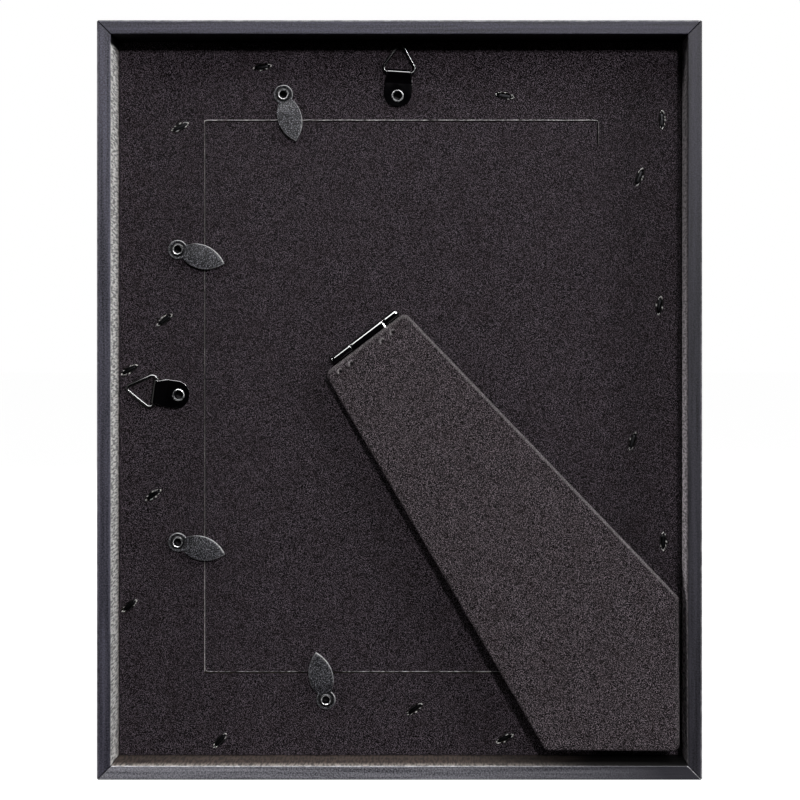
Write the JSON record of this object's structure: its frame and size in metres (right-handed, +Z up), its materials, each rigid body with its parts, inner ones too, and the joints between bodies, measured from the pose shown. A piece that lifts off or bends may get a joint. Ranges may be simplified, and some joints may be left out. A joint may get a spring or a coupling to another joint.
{
  "type": "picture frame",
  "caption": "Black wooden picture frame with mitred rails, glazed front, paper-covered back with a door held by turn buttons, triangle-ring hangers and a folding easel leg.",
  "frame": {"origin": "middle of the frame's foot, at the lowest level of the bottom rail", "axes": "+Z up with the frame upright, +Y out of the picture side, +X to the right as seen from behind"},
  "size_m": [0.196, 0.0252, 0.246],
  "materials": {
    "black_wood": "black-stained wood, satin",
    "grey_board": "dark fibreboard, raw",
    "black_paper": "black fibrous paper, matte",
    "leg_paper": "board wrapped in black felted paper, matte",
    "clear_glass": "clear float glass",
    "white_paper": "plain white paper",
    "button_paint": "black-grey crackle paint",
    "eyelet_metal": "blackened steel, worn bright at the edges",
    "black_metal": "gloss black",
    "staple_steel": "bright wire"
  },
  "bodies": {
    "frame": {"rail_bottom": "black_wood", "rail_right": "black_wood", "rail_top": "black_wood", "rail_left": "black_wood", "corner_nail_bottom_left_1": "staple_steel", "corner_nail_bottom_left_2": "staple_steel", "corner_nail_bottom_right_1": "staple_steel", "corner_nail_bottom_right_2": "staple_steel", "corner_nail_top_right_1": "staple_steel", "corner_nail_top_right_2": "staple_steel", "corner_nail_top_left_1": "staple_steel", "corner_nail_top_left_2": "staple_steel", "glass_pane": "clear_glass", "picture_sheet": "white_paper", "filler_card": "grey_board", "back_board": "grey_board", "door_board": "grey_board", "cover_paper": "black_paper", "staple_01": "staple_steel", "staple_02": "staple_steel", "staple_03": "staple_steel", "staple_04": "staple_steel", "staple_05": "staple_steel", "staple_06": "staple_steel", "staple_07": "staple_steel", "staple_08": "staple_steel", "staple_09": "staple_steel", "staple_10": "staple_steel", "staple_11": "staple_steel", "staple_12": "staple_steel", "staple_13": "staple_steel", "staple_14": "staple_steel", "staple_15": "staple_steel", "button_eyelet_top": "eyelet_metal", "button_eyelet_left_upper": "eyelet_metal", "button_eyelet_left_lower": "eyelet_metal", "button_eyelet_bottom": "eyelet_metal", "hanger_strap_top": "black_metal", "hanger_eyelet_top": "eyelet_metal", "hanger_strap_side": "black_metal", "hanger_eyelet_side": "eyelet_metal", "door_hinge_leaf": "black_metal", "hinge_pin": "black_metal", "door_rivet_1": "eyelet_metal", "door_rivet_2": "eyelet_metal"},
    "leg": {"easel_leg": "leg_paper", "leg_hinge_leaf": "black_metal", "leg_rivet_1": "eyelet_metal", "leg_rivet_2": "eyelet_metal"},
    "top_button": {"turn_button_top": "button_paint"},
    "left_upper_button": {"turn_button_left_upper": "button_paint"},
    "left_lower_button": {"turn_button_left_lower": "button_paint"},
    "bottom_button": {"turn_button_bottom": "button_paint"},
    "top_ring": {"hanger_ring_top": "black_metal"},
    "side_ring": {"hanger_ring_side": "black_metal"}
  },
  "joints": [
    {"name": "leg_fold", "type": "hinge", "parent": "frame", "child": "leg", "pos_m": [-0.0117, -0.0001, 0.1433], "axis": [-0.7965, 0, -0.6046], "range_deg": [-2.6, 27.4]},
    {"name": "top_button_turn", "type": "hinge", "parent": "frame", "child": "top_button", "pos_m": [-0.0387, 0.0014, 0.2236], "axis": [0, -1, 0], "continuous": true},
    {"name": "left_upper_button_turn", "type": "hinge", "parent": "frame", "child": "left_upper_button", "pos_m": [-0.0736, 0.0014, 0.1723], "axis": [0, -1, 0], "continuous": true},
    {"name": "left_lower_button_turn", "type": "hinge", "parent": "frame", "child": "left_lower_button", "pos_m": [-0.0736, 0.0014, 0.0755], "axis": [0, -1, 0], "continuous": true},
    {"name": "bottom_button_turn", "type": "hinge", "parent": "frame", "child": "bottom_button", "pos_m": [-0.0246, 0.0014, 0.0234], "axis": [0, -1, 0], "continuous": true},
    {"name": "top_ring_swing", "type": "hinge", "parent": "frame", "child": "top_ring", "pos_m": [-0.00043, 0.00005, 0.23064], "axis": [0.998, 0, -0.0628], "range_deg": [-4, 150]},
    {"name": "side_ring_swing", "type": "hinge", "parent": "frame", "child": "side_ring", "pos_m": [-0.08078, 0.00005, 0.12522], "axis": [0.1357, 0, 0.9907], "range_deg": [-4, 150]}
  ]
}
